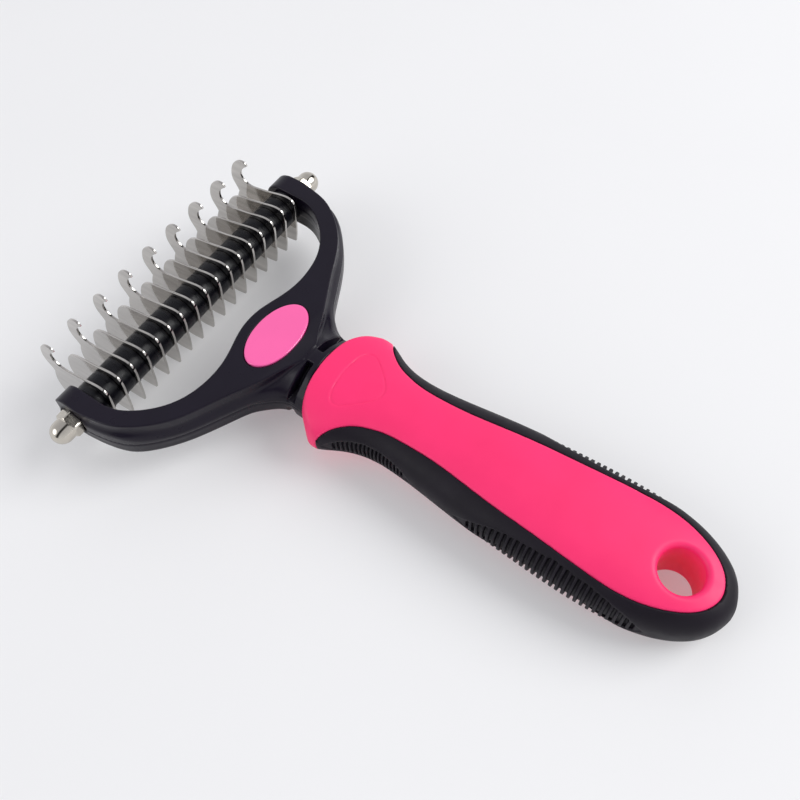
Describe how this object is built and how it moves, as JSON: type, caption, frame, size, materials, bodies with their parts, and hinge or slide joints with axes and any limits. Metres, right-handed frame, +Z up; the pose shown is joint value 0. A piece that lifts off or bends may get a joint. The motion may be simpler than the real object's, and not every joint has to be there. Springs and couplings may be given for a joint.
{
  "type": "undercoat rake",
  "caption": "Two-sided pet undercoat rake: steel hooks and claws on a shaft between the arms of a plastic yoke, on a soft-grip handle with a hanging hole.",
  "frame": {"origin": "centre of the bounding box, on the surface that the rake lies on", "axes": "+X from the teeth to the butt of the handle, +Y along the tooth shaft, +Z up, with the long hooks upward"},
  "size_m": [0.1798, 0.11, 0.0296],
  "materials": {
    "soft_touch_pink": "soft-touch coating, fine satin texture",
    "grip_rubber": "overmoulded thermoplastic rubber, matte, ribbed",
    "yoke_plastic": "moulded satin plastic with fine spark texture",
    "badge_gloss": "plain glossy inlay, no lettering",
    "spacer_plastic": "turned-looking moulded plastic, glossy",
    "blade_steel": "polished stamped stainless sheet",
    "plated_steel": "bright nickel plate"
  },
  "bodies": {
    "root": {"handle_core": "soft_touch_pink", "side_grip": "grip_rubber", "yoke": "yoke_plastic", "badge_top": "badge_gloss", "badge_bottom": "badge_gloss", "axle_rod": "plated_steel", "cap_nuts": "plated_steel", "end_spacer_left": "spacer_plastic", "end_spacer_right": "spacer_plastic", "spacer_01": "spacer_plastic", "spacer_02": "spacer_plastic", "spacer_03": "spacer_plastic", "spacer_04": "spacer_plastic", "spacer_05": "spacer_plastic", "spacer_06": "spacer_plastic", "spacer_07": "spacer_plastic", "spacer_08": "spacer_plastic", "spacer_09": "spacer_plastic", "spacer_10": "spacer_plastic", "spacer_11": "spacer_plastic", "spacer_12": "spacer_plastic", "spacer_13": "spacer_plastic", "spacer_14": "spacer_plastic", "spacer_15": "spacer_plastic", "spacer_16": "spacer_plastic", "hook_blade_1": "blade_steel", "hook_blade_2": "blade_steel", "hook_blade_3": "blade_steel", "hook_blade_4": "blade_steel", "hook_blade_5": "blade_steel", "hook_blade_6": "blade_steel", "hook_blade_7": "blade_steel", "hook_blade_8": "blade_steel", "hook_blade_9": "blade_steel", "short_blade_1": "blade_steel", "short_blade_2": "blade_steel", "short_blade_3": "blade_steel", "short_blade_4": "blade_steel", "short_blade_5": "blade_steel", "short_blade_6": "blade_steel", "short_blade_7": "blade_steel", "short_blade_8": "blade_steel"}
  },
  "joints": []
}
